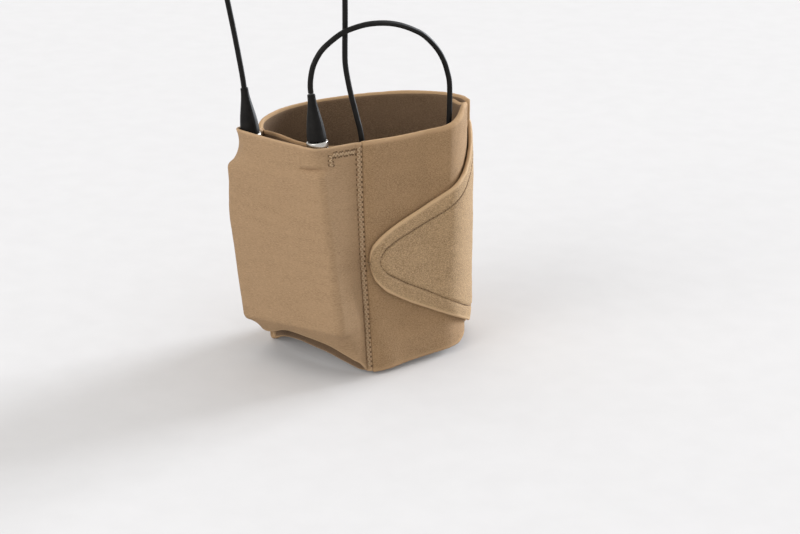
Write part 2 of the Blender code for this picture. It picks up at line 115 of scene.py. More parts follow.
# the tab's row of stitches, and below it the hook tape's outline, like the tab's: place and heights
TAB_STITCH = (
    (1.6, 11.2), (2.0, 13.5), (3.2, 19.5), (4.5, 29.5), (5.5, 38.2), (6.1, 44.5), (6.5, 50),
    (6.66, 56), (6.5, 61.5), (6.1, 65.5), (5.2, 71.5), (4.5, 75.9), (3.2, 87), (2.0, 96.5),
    (1.6, 100),
)
PATCH_OUTLINE = (
    (2.6, 21, 87), (3.2, 24, 83.5), (4.1, 31, 76), (5.1, 38, 68.6), (5.87, 44.6, 63.6), (6.4, 53, 58),
)

# the lead's route, from its boot over in an arch, down inside the band and up again, in metres
LEAD_ROUTE = (
    (-0.0253, -0.0492, 0.1422), (-0.0255, -0.0492, 0.1450), (-0.0253, -0.0491, 0.1490),
    (-0.0242, -0.0488, 0.1545), (-0.0220, -0.0481, 0.1593), (-0.0188, -0.0470, 0.1635),
    (-0.0124, -0.0445, 0.1685), (-0.0073, -0.0420, 0.1708), (0.0011, -0.0370, 0.1723),
    (0.0096, -0.0315, 0.1717), (0.0167, -0.0265, 0.1696), (0.0234, -0.0220, 0.1662),
    (0.0287, -0.0185, 0.1624), (0.0344, -0.0145, 0.1556), (0.0379, -0.0123, 0.1491),
    (0.0399, -0.0110, 0.1427), (0.0410, -0.0105, 0.1366), (0.0411, -0.0105, 0.1244),
    (0.0405, -0.0110, 0.1100), (0.0395, -0.0115, 0.0920), (0.0380, -0.0130, 0.0740),
    (0.0340, -0.0160, 0.0580), (0.0270, -0.0200, 0.0490), (0.0185, -0.0255, 0.0460),
    (0.0105, -0.0305, 0.0500), (0.0045, -0.0345, 0.0610), (0.0010, -0.0375, 0.0780),
    (-0.0005, -0.0387, 0.0970), (-0.0018, -0.0390, 0.1170), (-0.0044, -0.0388, 0.1292),
    (-0.0072, -0.0382, 0.1408), (-0.0092, -0.0377, 0.1524), (-0.0094, -0.0375, 0.1611),
    (-0.0092, -0.0373, 0.1726), (-0.0091, -0.0372, 0.1900),
)
LEAD_DIAMETER = 0.0027
LEAD_RADIUS = LEAD_DIAMETER / MM / 2


# ------------------------------------------------------------------ curves and grids

def smooth(points, where):
    """The smooth curve through the points, at each of those places; place 0 is the first point."""
    points = np.asarray(points, float)
    where = np.asarray(where, float)
    ends = (2 * points[:1] - points[1:2], 2 * points[-1:] - points[-2:-1])
    padded = np.concatenate([ends[0], points, ends[1]])
    index = np.clip(where.astype(int), 0, len(points) - 2)
    t = (where - index)[..., None]
    a, b, c, d = (padded[index + k] for k in range(4))
    return 0.5 * (2 * b + (c - a) * t + (2 * a - 5 * b + 4 * c - d) * t ** 2
                  + (3 * b - a - 3 * c + d) * t ** 3)


def eased(table, where):
    """A smooth value through a table of (place, value) rows."""
    xs, ys = np.array(table, float).T
    slopes = np.gradient(ys, xs)
    where = np.clip(where, xs[0], xs[-1])
    i = np.clip(np.searchsorted(xs, where) - 1, 0, len(xs) - 2)
    gap = xs[i + 1] - xs[i]
    t = (where - xs[i]) / gap
    return ((2 * t ** 3 - 3 * t ** 2 + 1) * ys[i] + (t ** 3 - 2 * t ** 2 + t) * gap * slopes[i]
            + (3 * t ** 2 - 2 * t ** 3) * ys[i + 1] + (t ** 3 - t ** 2) * gap * slopes[i + 1])


def ramp(value, low, high):
    """0 below low, 1 above high, smooth between."""
    t = np.clip((value - low) / (high - low), 0, 1)
    return t * t * (3 - 2 * t)


def unit(vectors):
    return vectors / np.maximum(np.linalg.norm(vectors, axis=-1, keepdims=True), 1e-12)


def band_frame(place, height):
    """Points on the band's outer face, in mm, and the direction out of it."""
    place, height = np.broadcast_arrays(np.asarray(place, float), np.asarray(height, float))
    lower = np.array([(x, y, 0) for x, y in LOWER_EDGE], float)

    def on_face(where):
        low, high = smooth(lower, where), smooth(UPPER_EDGE, where)
        return low + (high - low) * (height / high[..., 2])[..., None]

    here = on_face(place)
    here[..., 2] = height
    step = np.where(place < BAND_END - 0.02, 0.01, -0.01)
    along = (on_face(place + step) - here) * np.sign(step)[..., None]
    out = unit(np.stack([-along[..., 1], along[..., 0], np.zeros_like(place)], axis=-1))
    return here, out


def band_point(place, height, offset=0.0):
    """Points off the band's outer face, in mm."""
    here, out = band_frame(place, height)
    return here + out * np.asarray(offset, float)[..., None]


def seam_at(height):
    return np.interp(height, *np.array(SEAM_LINE, float).T)


def random_field(shape, cells, seed):
    """A smooth random field of about unit size, with that many cells each way."""
    knots = np.random.default_rng(seed).normal(size=(cells[0] + 2, cells[1] + 2))
    rows = smooth(knots, np.linspace(0, cells[0] + 1, shape[0]))
    return smooth(rows.T, np.linspace(0, cells[1] + 1, shape[1])).T


def normals_of(grid):
    """The unit normal at each point of a grid of rows and columns."""
    up, along = np.gradient(grid, axis=0), np.gradient(grid, axis=1)
    return unit(np.cross(up, along))


def distance_to_path(points, path):
    """How far each point is from a polyline."""
    best = np.full(points.shape[:-1], 1e9)
    for a, b in zip(path[:-1], path[1:]):
        d = b - a
        t = np.clip(((points - a) @ d) / max(d @ d, 1e-12), 0, 1)
        best = np.minimum(best, np.linalg.norm(points - a - t[..., None] * d, axis=-1))
    return best


# ------------------------------------------------------------------ materials

def new_material(name):
    """A material, its Principled shader, and two functions, which add a node to it and link two sockets."""
    material = bpy.data.materials.new(name)
    material.use_nodes = True
    tree = material.node_tree
    shader = tree.nodes["Principled BSDF"]

    def node(kind, values=None):
        made = tree.nodes.new(kind)
        for key, value in (values or {}).items():
            if isinstance(key, str) and hasattr(made, key):
                setattr(made, key, value)
            else:
                made.inputs[key].default_value = value
        return made

    return material, shader, node, tree.links.new


# where a mix node keeps its factor and its two colours, and its mixed colour
MIX_INPUTS = (0, 6, 7)
MIX_RESULT = 2


def colour_mix(node, factor, first, second):
    """A mix of two colours by a factor socket; either colour may be a socket."""
    mix = node("ShaderNodeMix", {"data_type": "RGBA"})
    for index, value in zip(MIX_INPUTS, (factor, first, second)):
        if isinstance(value, bpy.types.NodeSocket):
            mix.id_data.links.new(value, mix.inputs[index])
        else:
            mix.inputs[index].default_value = (*value, 1)
    return mix.outputs[MIX_RESULT]


def noise(node, coordinates, scale, detail, roughness=0.55):
    """Fractal noise at that scale, as a socket."""
    made = node("ShaderNodeTexNoise", {"Scale": scale, "Detail": detail, "Roughness": roughness})
    made.id_data.links.new(coordinates, made.inputs["Vector"])
    return made.outputs["Fac"]


def stretched(node, value, low, high):
    """The value's part between low and high, as 0 to 1."""
    made = node("ShaderNodeMapRange", {"From Min": low, "From Max": high})
    made.id_data.links.new(value, made.inputs["Value"])
    return made.outputs["Result"]


def sum_of(node, first, second, weight):
    """The first value and the weighted second one, added."""
    made = node("ShaderNodeMath", {"operation": "MULTIPLY_ADD", 1: weight})
    made.id_data.links.new(second, made.inputs[0])
    made.id_data.links.new(first, made.inputs[2])
    return made.outputs[0]


def bump(node, height, distance):
    """A normal that shows the height as relief, that many metres deep."""
    made = node("ShaderNodeBump", {"Distance": distance, "Strength": 1.0})
    made.id_data.links.new(height, made.inputs["Height"])
    return made.outputs["Normal"]


def cloth_material(name, dark, mid, light, grain, loops, depth, sheen, streak=2.2):
    """Brushed or knitted cloth: mottled colour, fine grain along the strip, loops in relief, and a painted
    highlight that makes it paler at its edges.
    """
    material, shader, node, link = new_material(name)
    object_place = node("ShaderNodeTexCoord").outputs["Object"]
    mapping = node("ShaderNodeMapping", {"Scale": (1, 1, streak)})
    link(object_place, mapping.inputs["Vector"])
    place = mapping.outputs["Vector"]
    rim = node("ShaderNodeAttribute", {"attribute_name": "rim"}).outputs["Fac"]
    blotches = stretched(node, noise(node, place, 45, 3), 0.34, 0.68)
    speckle = stretched(node, noise(node, place, grain, 4, 0.7), 0.4, 0.62)
    fine = noise(node, place, grain * 2.6, 3, 0.7)
    cells = node("ShaderNodeTexVoronoi", {"Scale": loops, "Randomness": 0.85})
    link(place, cells.inputs["Vector"])
    base = colour_mix(node, blotches, mid, dark)
    flecked = colour_mix(node, speckle, base, light)
    # painted highlight: the cloth turns paler towards its edges and over its rounded border, by the rim
    # attribute
    edge_highlighted = colour_mix(node, rim, flecked, tuple(min(1, c * 1.08) for c in light))
    link(edge_highlighted, shader.inputs["Base Color"])
    height = sum_of(node, speckle, fine, 0.8)
    height = sum_of(node, height, cells.outputs["Distance"], -0.7)
    link(bump(node, height, depth), shader.inputs["Normal"])
    link(stretched(node, speckle, -1.5, 1.2), shader.inputs["Roughness"])
    shader.inputs["Specular IOR Level"].default_value = 0.15
    shader.inputs["Sheen Weight"].default_value = sheen
    shader.inputs["Sheen Roughness"].default_value = 0.6
    shader.inputs["Sheen Tint"].default_value = (*light, 1)
    return material


def solid_material(name, dark, light, scale, roughness, depth, metallic=0.0, specular=0.5, coat=0.0):
    """Moulded or metal surface: slight colour and gloss variation, fine relief."""
    material, shader, node, link = new_material(name)
    place = node("ShaderNodeTexCoord").outputs["Object"]
    wide = stretched(node, noise(node, place, scale * 0.12, 3), 0.35, 0.65)
    fine = noise(node, place, scale, 3, 0.6)
    link(colour_mix(node, wide, dark, light), shader.inputs["Base Color"])
    gloss = node("ShaderNodeMapRange", {"From Min": 0.3, "From Max": 0.7, "To Min": roughness[0],
                                        "To Max": roughness[1]})
    link(fine, gloss.inputs["Value"])
    link(gloss.outputs["Result"], shader.inputs["Roughness"])
    link(bump(node, fine, depth), shader.inputs["Normal"])
    shader.inputs["Metallic"].default_value = metallic
    shader.inputs["Specular IOR Level"].default_value = specular
    shader.inputs["Coat Weight"].default_value = coat
    return material


FELT = cloth_material("felt", (0.235, 0.143, 0.070), (0.295, 0.181, 0.090), (0.44, 0.28, 0.15),
                      1250, 2000, 0.00018, 0.2, streak=2.8)
# felt painted darker as shade, for the band's inner face and its face behind the pocket, where shade falls
PAINTED_SHADE_FELT = cloth_material("felt_painted_shade", (0.12, 0.072, 0.038), (0.155, 0.094, 0.052), (0.225, 0.145, 0.086),
                        1300, 1800, 0.00026, 0.2)
KNIT = cloth_material("knit", (0.268, 0.170, 0.092), (0.315, 0.202, 0.111), (0.42, 0.276, 0.157),
                      700, 2300, 0.0001, 0.12, streak=6.0)
TAB_FELT = cloth_material("tab_felt", (0.24, 0.152, 0.075), (0.31, 0.198, 0.100), (0.55, 0.373, 0.210),
                          1150, 1900, 0.0002, 0.2, streak=2.4)
THREAD = cloth_material("thread", (0.34, 0.225, 0.125), (0.43, 0.295, 0.175), (0.53, 0.38, 0.24),
                        2500, 4200, 0.00008, 0.2)
# the tab's thread: partly its own colour, darkened with painted shade from the tab's stitch groove and holes
TAB_THREAD_SHADED = cloth_material("tab_thread", (0.18, 0.114, 0.060), (0.225, 0.145, 0.08), (0.29, 0.195, 0.112),
                            2500, 4200, 0.00008, 0.1)
# dark dishes standing for needle holes: painted shade of the holes
HOLE_SHADE = solid_material("needle_hole_painted_shade", (0.135, 0.085, 0.046), (0.185, 0.119, 0.068), 3000, (0.9, 1.0), 0.0001,
                      specular=0.1)
HOOKS = solid_material("hook_base", (0.30, 0.215, 0.13), (0.36, 0.27, 0.17), 2500, (0.45, 0.65), 0.00006)
RUBBER = solid_material("moulded_rubber", (0.004, 0.0035, 0.003), (0.008, 0.007, 0.006), 2600, (0.42, 0.56),
                        0.00003, specular=0.12)
JACKET = solid_material("lead_jacket", (0.004, 0.0035, 0.003), (0.008, 0.007, 0.006), 3200, (0.40, 0.54),
                        0.00002, specular=0.14)
NICKEL = solid_material("nickel_plate", (0.44, 0.42, 0.39), (0.56, 0.54, 0.50), 4200, (0.16, 0.32), 0.000008,
                        metallic=1.0)
STEEL = solid_material("zinc_steel", (0.50, 0.50, 0.52), (0.62, 0.62, 0.64), 5200, (0.28, 0.46), 0.00001,
                       metallic=1.0)
CASE = solid_material("case_moulding", (0.020, 0.020, 0.023), (0.034, 0.034, 0.038), 5200, (0.48, 0.66),
                      0.00004, specular=0.4)
SEAL = solid_material("seal_rubber_black", (0.012, 0.012, 0.012), (0.02, 0.02, 0.02), 2400, (0.75, 0.9),
                      0.00003, specular=0.3)
BOARD = solid_material("solder_mask", (0.010, 0.095, 0.045), (0.018, 0.14, 0.07), 1500, (0.25, 0.4), 0.00002,
                       coat=0.4)
CELL = solid_material("cell_pouch", (0.44, 0.45, 0.47), (0.58, 0.59, 0.61), 900, (0.3, 0.5), 0.00008,
                      metallic=0.7)


# ------------------------------------------------------------------ making meshes

def mesh_piece(name, points, faces, material):
    """A new object from points in mm and faces."""
    mesh = bpy.data.meshes.new(name)
    mesh.from_pydata((np.asarray(points) * MM).tolist(), [], [tuple(f) for f in faces])
    mesh.validate()
    mesh.shade_smooth()
    mesh.materials.append(material)
    obj = bpy.data.objects.new(name, mesh)
    bpy.context.scene.collection.objects.link(obj)
    return obj


def grid_faces(first, rows, columns, flipped=False):
    """Quads of a grid whose points are numbered row by row from first."""
    index = first + np.arange(rows * columns).reshape(rows, columns)
    corners = (index[:-1, :-1], index[:-1, 1:], index[1:, 1:], index[1:, :-1])
    if flipped:
        corners = corners[::-1]
    return np.stack(corners, axis=-1).reshape(-1, 4)


def skin(name, outer, inner, material, edge_highlight_width=0.5, rounds=3, inner_shade=None):
    """A closed cloth between two grids of points, its border rounded, with a rim attribute near it, which the
    cloth's material turns into a painted highlight; its inner face may take a darker material of painted
    shade.
    """
    rows, columns = outer.shape[:2]
    count = rows * columns
    index = np.arange(count).reshape(rows, columns)
    loop = np.concatenate([index[0, :-1], index[:-1, -1], index[-1, :0:-1], index[:0:-1, 0]])
    row, column = np.divmod(loop, columns)
    inside = np.clip(row, 1, rows - 2) * columns + np.clip(column, 1, columns - 2)
    flat_outer, flat_inner = outer.reshape(-1, 3), inner.reshape(-1, 3)
    edge_outer, edge_inner = flat_outer[loop], flat_inner[loop]
    middle = (edge_outer + edge_inner) / 2
    away = unit(middle - (flat_outer[inside] + flat_inner[inside]) / 2)
    half = np.linalg.norm(edge_outer - edge_inner, axis=1)[:, None] / 2
    points = [flat_outer, flat_inner]
    faces = [grid_faces(0, rows, columns), grid_faces(count, rows, columns, flipped=True)]
    rings = [loop]
    for k in range(1, rounds + 1):
        angle = math.pi * k / (rounds + 1)
        ring = middle + (edge_outer - middle) * math.cos(angle) + away * half * math.sin(angle)
        rings.append(2 * count + (k - 1) * len(loop) + np.arange(len(loop)))
        points.append(ring)
    rings.append(count + loop)
    for a, b in zip(rings[:-1], rings[1:]):
        faces.append(np.stack([a, b, np.roll(b, -1), np.roll(a, -1)], axis=-1))
    obj = mesh_piece(name, np.concatenate(points), np.concatenate(faces), material)
    # the inner face takes the darker material of painted shade
    if inner_shade:
        obj.data.materials.append(inner_shade)
        inside_faces = np.zeros(len(obj.data.polygons), np.int32)
        inside_faces[len(faces[0]):2 * len(faces[0])] = 1
        obj.data.polygons.foreach_set("material_index", inside_faces)

    up = np.linalg.norm(np.diff(outer, axis=0, prepend=outer[:1]), axis=2)
    down = np.linalg.norm(np.diff(outer, axis=0, append=outer[-1:]), axis=2)
    right = np.linalg.norm(np.diff(outer, axis=1, prepend=outer[:, :1]), axis=2)
    left = np.linalg.norm(np.diff(outer, axis=1, append=outer[:, -1:]), axis=2)
    from_edge = np.minimum.reduce([
        np.cumsum(up, axis=0), np.cumsum(down[::-1], axis=0)[::-1],
        np.cumsum(right, axis=1), np.cumsum(left[:, ::-1], axis=1)[:, ::-1],
    ]).ravel()
    # the rim weight, 1 on the rounded border and fading inwards, paints a highlight along the cloth's edges
    rim = np.exp(-from_edge / edge_highlight_width)
    values = np.concatenate([rim, rim] + [np.ones(len(loop))] * rounds)
    obj.data.attributes.new("rim", "FLOAT", "POINT").data.foreach_set("value", values.astype(np.float32))
    return obj


def tube(name, points, radius, material, resolution):
    """A tube through points in mm."""
    curve = bpy.data.curves.new(name, "CURVE")
    curve.dimensions = "3D"
    curve.bevel_depth = radius * MM
    curve.bevel_resolution = resolution
    curve.use_fill_caps = True
    spline = curve.splines.new("POLY")
    spline.points.add(len(points) - 1)
    for spot, point in zip(spline.points, points):
        spot.co = (*(np.asarray(point) * MM), 1)
    curve.materials.append(material)
    obj = bpy.data.objects.new(name, curve)
    bpy.context.scene.collection.objects.link(obj)
    return obj


def stitch_row(name, starts, ends, outs, material, radius=0.24, rise=0.16):
    """Short stitches, each one a little arched tube that dips into the cloth at both ends."""
    sides, steps = 8, 9
    dip = 0.3
    points, faces = [], []
    for start, end, out in zip(starts, ends, outs):
        t = np.linspace(0, 1, steps)
        lift = rise - (dip + rise) * np.abs(2 * t - 1) ** 6
        line = start + (end - start) * t[:, None] + out * lift[:, None]
        along = unit(end - start)
        side = unit(np.cross(along, out))
        thick = radius * (1 - 0.25 * np.abs(2 * t - 1) ** 4)
        first = len(points) * steps * sides
        angle = np.arange(sides) * 2 * math.pi / sides
        ring = np.cos(angle)[:, None] * side + np.sin(angle)[:, None] * out
        points.append((line[:, None] + ring[None] * thick[:, None, None]).reshape(-1, 3))
        index = first + np.arange(steps * sides).reshape(steps, sides)
        ahead = np.roll(index, -1, axis=1)
        faces += np.stack([index[:-1], ahead[:-1], ahead[1:], index[1:]], axis=-1).reshape(-1, 4).tolist()
        faces += [index[0, ::-1].tolist(), index[-1].tolist()]
    return mesh_piece(name, np.concatenate(points), faces, material)


def holes(name, centres, outs, radius, material):
    """Needle holes: small dark dishes set on the cloth's face, their dark colour painted shade of the holes.
    """
    sides = 10
    points, faces = [], []
    for centre, out in zip(centres, outs):
        side = unit(np.cross(out, (0, 0, 1)))
        up = np.cross(side, out)
        first = sum(len(p) for p in points)
        angle = np.arange(sides) * 2 * math.pi / sides
        ring = np.cos(angle)[:, None] * side + np.sin(angle)[:, None] * up
        points.append(np.concatenate([centre + ring * radius + out * 0.02, [centre + out * 0.09]]))
        faces += [(first + (k + 1) % sides, first + k, first + sides) for k in range(sides)]
        faces.append([first + k for k in range(sides)])
    return mesh_piece(name, np.concatenate(points), faces, material)


def lathe(name, profile, matrix, material, sides=72, sharp=38, relief=None):
    """A turned piece; profile is (radius, height) in mm from the bottom of its axis to the top.

    Edges over sharp degrees stay sharp; relief gives how far the face stands out, from angle and height.
    """
    profile = np.array(profile, float)
    angle = np.arange(sides) * 2 * math.pi / sides
    radius = np.maximum(profile[:, :1], 0) * np.ones(sides)
    if relief is not None:
        radius = radius + relief(angle[None], profile[:, 1:]) * (profile[:, :1] > 0)
    points = np.stack([radius * np.cos(angle), radius * np.sin(angle),
                       profile[:, 1:] * np.ones(sides)], axis=-1).reshape(-1, 3)
    index = np.arange(len(points)).reshape(len(profile), sides)
    ahead = np.roll(index, -1, axis=1)
    faces = np.stack([index[:-1], ahead[:-1], ahead[1:], index[1:]], axis=-1).reshape(-1, 4).tolist()
    turn = np.array(matrix, float)
    points = points @ turn[:3, :3].T + turn[:3, 3]
    obj = mesh_piece(name, points, faces, material)
    weld = obj.modifiers.new("weld", "WELD")
    weld.merge_threshold = 0.000001
    evaluated = obj.evaluated_get(bpy.context.evaluated_depsgraph_get())
    welded = bpy.data.meshes.new_from_object(evaluated)
    obj.modifiers.clear()
    obj.data = welded
    obj.data.set_sharp_from_angle(angle=math.radians(sharp))
    return obj


def rounded(points, radius):
    """A turned profile with its inner corners rounded by about that radius."""
    steps = 3
    points = [np.array(p, float) for p in points]
    made = [points[0]]
    for a, b, c in zip(points[:-2], points[1:-1], points[2:]):
        before, after = a - b, c - b
        cut = min(radius, np.linalg.norm(before) * 0.45, np.linalg.norm(after) * 0.45)
        if cut < 0.01:
            made.append(b)
            continue
        start, end = b + before / np.linalg.norm(before) * cut, b + after / np.linalg.norm(after) * cut
        for t in np.linspace(0, 1, steps + 1):
            made.append((1 - t) ** 2 * start + 2 * t * (1 - t) * b + t ** 2 * end)
    made.append(points[-1])
    return made


def dress(node, finish):
    """Give a CAD node, which shows as it is, its finish."""
    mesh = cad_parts[node].data
    mesh.materials.clear()
    mesh.materials.append(finish)


# ------------------------------------------------------------------ the pack's own axes

def middle(node):
    low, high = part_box(node)
    return np.array((low + high) / 2) / MM


def plate_axes(node):
    """Middle, across, inwards and up of the flat board, from its own corners."""
    corners = np.unique(np.round([v.co[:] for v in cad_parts[node].data.vertices], 6), axis=0) / MM
    centre = corners.mean(0)
    _, axes = np.linalg.eigh(np.cov((corners - centre).T))
    _, across, up = axes.T
    up = up * np.sign(up[2])
    across = across * np.sign(across[0])
    return centre, across, np.cross(up, across), up


# how far the board's middle is below and behind the pack's middle
BOARD_DROP = 7.0
BOARD_DEPTH = 2.5
board_middle, ACROSS, INWARDS, UP = plate_axes("circuit_board")
nut_places = [float((middle(f"socket_nut_{side}") - board_middle) @ ACROSS) for side in ("whip", "lead")]
SOCKET_X = (nut_places[1] - nut_places[0]) / 2
# midway between the two sockets, at half the pack's height and depth
PACK_MIDDLE = board_middle + ACROSS * sum(nut_places) / 2 + UP * BOARD_DROP - INWARDS * BOARD_DEPTH
PACK_LOW, PACK_HIGH = np.array((-37.8, -6.5, -42.5)), np.array((28.3, 6.5, 39.3))


def pack_matrix(x):
    """Pack axes to the row frame, in mm, with the origin moved sideways by x."""
    matrix = np.eye(4)
    matrix[:3, 0], matrix[:3, 1], matrix[:3, 2] = ACROSS, INWARDS, UP
    matrix[:3, 3] = PACK_MIDDLE + ACROSS * x
    return matrix


def to_pack(points):
    """Points in the row frame, in mm, as points in pack axes."""
    return (points - PACK_MIDDLE) @ np.stack([ACROSS, INWARDS, UP], axis=1)


def from_pack(points):
    """Points in pack axes as points in the row frame, in mm."""
    return np.asarray(points, float) @ np.stack([ACROSS, INWARDS, UP]) + PACK_MIDDLE


# ------------------------------------------------------------------ camera

# a long lens, a little above the wrap and looking down on it
camera_data = bpy.data.cameras.new("camera")
camera_data.lens = 85.5
camera_data.sensor_width = 36
camera = bpy.data.objects.new("camera", camera_data)
camera.location = (0.01668, -0.9181, 0.37125)
camera.rotation_euler = (math.radians(70), 0, 0)
bpy.context.scene.collection.objects.link(camera)
bpy.context.scene.camera = camera


# ------------------------------------------------------------------ the lead, its plug and its far end

def build_lead():
    """The lead, and at its far end a strain relief, a connector's grip and its sleeve."""
    line = smooth(LEAD_ROUTE, np.linspace(0, len(LEAD_ROUTE) - 1, 260)) / MM
    cord = tube("lead", line, LEAD_RADIUS, JACKET, 5)
    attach(cord, "lead")
    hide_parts("lead_cord")

    end = np.eye(4)
    end[:3, 3] = line[-1]
    ribs = [(0, 0.3), (1.75, 0.3)]
    rib_count, rib_pitch, rib_depth = 7, 1.15, 0.3
    for k in range(rib_count):
        size = 1.85 + 0.12 * k
        foot = 0.6 + rib_pitch * k
        ribs += [(size, foot), (size, foot + 0.7), (size - rib_depth, foot + 0.75),
                 (size - rib_depth, foot + 1.1)]
    ribs += [(2.7, 8.6), (2.7, 9.0), (0, 9.0)]
    relief = lathe("end_strain_relief", rounded(ribs, 0.12), end, RUBBER, 48)

    def grooves(angle, height):
        return -0.16 * (np.cos(angle * 16) > 0.2) * (ramp(height, 13.5, 14.2) - ramp(height, 23.8, 24.5))

    body = rounded(((0, 9.3), (3.1, 9.3), (3.75, 10.6), (4.1, 12.4), (4.1, 25.9), (3.8, 26.1), (3.8, 26.4),
                    (4.1, 26.6), (4.1, 29.3), (3.7, 30), (0, 30)), 0.4)
    body = [p for a, b in zip(body[:-1], body[1:]) for p in (a, (np.add(a, b) / 2))] + [body[-1]]
    grips = lathe("end_connector_body", body, end, RUBBER, 96, relief=grooves)
    turned = ((0, 30.3), (2.7, 30.3), (2.8, 30.6), (2.8, 33), (2.62, 33.1), (2.62, 33.5), (2.8, 33.6),
              (2.8, 35.5), (2.4, 36), (2.0, 36), (1.9, 33.4), (0.9, 33.4), (0.9, 35.2), (0.6, 35.6),
              (0, 35.6))
    sleeve = lathe("end_coupling_sleeve", rounded(turned, 0.12), end, NICKEL)
    for piece, node, slot in ((relief, "end_relief", "moulded_black"),
                              (grips, "end_connector", "moulded_black"),
                              (sleeve, "end_sleeve", "nickel")):
        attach(piece, "lead")
        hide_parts(node)


# turned profiles of a plug: radius, and height above the pack's middle
BOOT_TIP = 77.1
BOOT = ((0, 54.5), (4.45, 54.5), (4.7, 54.9), (4.72, 56.2), (4.62, 57.4), (4.5, 58.6), (4.28, 60.6),
        (4.0, 62.6), (3.66, 64.6), (3.28, 66.6), (2.9, 68.6), (2.52, 70.6), (2.2, 72.6), (2.0, 74.4),
        (1.93, 75.6), (1.93, 76.7), (1.8, 77.05), (1.45, BOOT_TIP), (0, BOOT_TIP))
COLLAR = ((0, 47.8), (1.95, 47.8), (1.95, 42.8), (4.4, 42.8), (4.8, 43.2), (4.8, 45.9), (4.95, 46.1),
          (4.95, 46.4), (5.2, 46.6), (5.2, 50.4), (5.0, 50.5), (5.0, 51), (5.2, 51.1), (5.2, 53.8),
          (4.9, 54.2), (0, 54.2))


def build_plug(side, x):
    """Boot, collar and pin of one plug, standing in its socket."""
    def mould_line(angle, height):
        from_line = np.minimum(angle % math.pi, math.pi - angle % math.pi)
        along = ramp(height, 54.9, 56) * (1 - ramp(height, 75.5, 76.5))
        return 0.07 * np.exp(-(from_line / 0.05) ** 2) * along

    def knurl(angle, height):
        return -0.1 * (np.cos(angle * 36) > 0) * ramp(height, 46.7, 46.9) * (1 - ramp(height, 50.1, 50.3))

    matrix = pack_matrix(x)
    boot = lathe(f"{side}_plug_boot", rounded(BOOT, 0.5), matrix, RUBBER, 96, 50, relief=mould_line)
    collar = lathe(f"{side}_plug_collar", rounded(COLLAR, 0.15), matrix, NICKEL, 144, relief=knurl)
    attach(boot, side)
    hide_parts(f"{side}_boot")
    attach(collar, side)
    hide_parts(f"{side}_collar")
    dress(f"{side}_pin", NICKEL)


def build_whip():
    """The whip aerial's rod, bending slightly outwards, and its moulded tip."""
    route = ((0, 77.4), (-0.15, 84), (-0.9, 95), (-1.9, 107), (-3.0, 118), (-3.4, 122))
    local = smooth([(-SOCKET_X + x, 0, z) for x, z in route], np.linspace(0, len(route) - 1, 60))
    rod = tube("whip_aerial_rod", from_pack(local), LEAD_RADIUS, JACKET, 5)
    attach(rod, "whip")
    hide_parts("whip_rod")
    tip = lathe("whip_aerial_tip", rounded(((0, 122.4), (1.5, 122.4), (1.9, 123), (1.95, 124), (1.95, 130.4),
                                            (1.7, 131.4), (1.1, 131.9), (0, 132)), 0.4),
                pack_matrix(-SOCKET_X - 3.5), RUBBER, 48)
    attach(tip, "whip")
    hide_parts("whip_tip")


# ------------------------------------------------------------------ band

def band_relief(place, height):
    """How far the band's outer face stands out of its plain outline, in mm.

    It has an upright crease, a flare and a curled corner at the lower rim, and is let in under the pocket.
    """
    crease_rise, flare_rise, corner_rise = 2.0, 1.4, 1.8
    reach = np.where(place < CREASE, 1.5, 0.85)
    fold = 1 - np.sqrt(((place - CREASE) / reach) ** 2 + 0.0008)
    crease = crease_rise * np.clip(fold, 0, 1) * ramp(height, 10, 100)
    flare = flare_rise * (1 - ramp(height, 2, 22)) * ramp(place, 2.4, 3.4) * (1 - ramp(place, 6.3, 6.9))
    corner = corner_rise * np.exp(-((place - 11.2) / 0.5) ** 2) * (1 - ramp(height, 2, 10))
    right, left, step = seam_at(height) - SEAM_MARGIN, LEFT_SEAM + SEAM_MARGIN, 0.06
    pocket = ramp(place, right - step, right) * (1 - ramp(place, left, left + step))
    return crease + flare + corner - (PANEL_THICKNESS + PANEL_GAP) * pocket


def build_band():
    """The band, from its start edge under the overlap to its tail, with painted shade on its inner face and
    on its face behind the pocket.
    """
    columns, rows = 19 * 24 + 1, 92
    place = np.linspace(0, BAND_END, columns)
    top, bottom = eased(UPPER_RIM, place), eased(LOWER_RIM, place)
    share = np.linspace(0, 1, rows)[:, None]
    half = BAND_THICKNESS / 2
    height = (bottom + half) + (top - bottom - 2 * half) * share
    places = np.broadcast_to(place, height.shape)
    # broad and small unevenness, which dies out at the band's two ends
    wobble = 0.16 * random_field(height.shape, (7, 26), 3) + 0.05 * random_field(height.shape, (34, 130), 4)
    wobble = wobble * ramp(place, 0, 0.6) * (1 - ramp(place, BAND_END - 0.6, BAND_END))
    fine = 0.03 * np.random.default_rng(5).normal(size=height.shape)
    seam = seam_at(height)
    near_pocket = ramp(places, seam - 0.3, seam - 0.1) * (1 - ramp(places, LEFT_SEAM + 0.1, LEFT_SEAM + 0.4))
    still = 1 - near_pocket
    tab_side = 1 - ramp(places, seam - 0.6, seam - 0.1)
    under_rim = height < 110
    calm = 1 - 0.75 * tab_side * under_rim
    relief = band_relief(places, height)
    outer = band_point(places, height, relief + (wobble * calm + fine) * still)
    raised = relief * (relief > 0)
    inner = band_point(places, height, -BAND_THICKNESS + 0.6 * raised - 0.5 * fine)
    band = skin("band_cloth", outer, inner, FELT, edge_highlight_width=0.6, inner_shade=PAINTED_SHADE_FELT)
    # painted shade on the band's face behind the pocket too, from just inside its seams and its free edges
    patch = (places > seam + 0.15) & (places < LEFT_SEAM - 0.1) & (height > bottom + 2.2) & (height < top - 2)
    shade_faces = np.array([f.material_index for f in band.data.polygons], np.int32)
    shade_faces[:patch[1:, 1:].size] |= patch[1:, 1:].ravel()
    band.data.polygons.foreach_set("material_index", shade_faces)
    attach(band, "wrap")
    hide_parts("wrap_band")


